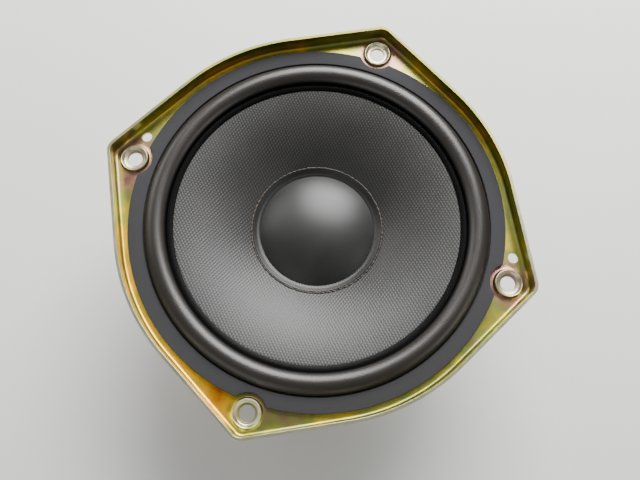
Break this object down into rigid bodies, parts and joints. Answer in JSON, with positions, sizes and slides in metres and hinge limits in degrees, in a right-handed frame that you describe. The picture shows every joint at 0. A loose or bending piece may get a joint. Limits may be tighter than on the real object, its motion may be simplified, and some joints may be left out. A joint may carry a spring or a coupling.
{
  "type": "car loudspeaker driver",
  "caption": "Cone loudspeaker driver on a stamped steel basket with a four-eared flange, half-roll surround, woven cone, dust cap and ring magnet.",
  "frame": {"origin": "on the cone's axis, in the rear face of the magnet's back plate, which the driver stands on", "axes": "+Z along the cone's axis, towards the listener; the ears lie at 45 degrees between X and Y; the terminals are on the -Y side"},
  "size_m": [0.1312, 0.1312, 0.0585],
  "materials": {
    "zinc_chromate": "yellow zinc chromate on stamped steel, iridescent",
    "gasket_felt": "matte fibre board",
    "surround_rubber": "moulded rubber, satin",
    "cone_cloth": "woven, impregnated",
    "cap_cloth": "smooth coated, satin",
    "adhesive": "dried adhesive",
    "former_film": "polyimide film",
    "kraft_paper": "kraft paper",
    "copper_wire": "enamelled copper",
    "solder": "solder, bright",
    "spider_cloth": "phenolic-impregnated cotton",
    "zinc_plate": "zinc-plated steel",
    "ferrite": "sintered ferrite, ground faces",
    "rivet_steel": "zinc-plated steel",
    "laminate": "phenolic paper laminate",
    "tin_plate": "tin-plated brass",
    "tinsel": "braided tinsel wire"
  },
  "bodies": {
    "frame": {"basket": "zinc_chromate", "front_gasket": "gasket_felt", "surround": "surround_rubber", "spider": "spider_cloth", "top_plate": "zinc_plate", "magnet": "ferrite", "back_plate": "zinc_plate", "pole_piece": "zinc_plate", "basket_rivets": "rivet_steel", "terminal_board": "laminate", "board_rivet": "rivet_steel", "terminal_positive": "tin_plate", "terminal_negative": "tin_plate", "terminal_eyelets": "tin_plate", "terminal_solder": "solder", "tinsel_lead_positive": "tinsel", "tinsel_lead_negative": "tinsel"},
    "diaphragm": {"cone": "cone_cloth", "dust_cap": "cap_cloth", "cap_adhesive": "adhesive", "neck_adhesive": "adhesive", "voice_coil_former": "former_film", "former_collar": "kraft_paper", "voice_coil_winding": "copper_wire", "coil_lead_outs": "copper_wire", "lead_solder": "solder"}
  },
  "joints": [
    {"name": "cone_travel", "type": "slide", "parent": "frame", "child": "diaphragm", "axis": [0, 0, 1], "range_m": [-0.004, 0.004], "stiffness_N_per_m": 1100, "deforming": ["surround", "spider", "tinsel_lead_positive", "tinsel_lead_negative"]}
  ]
}
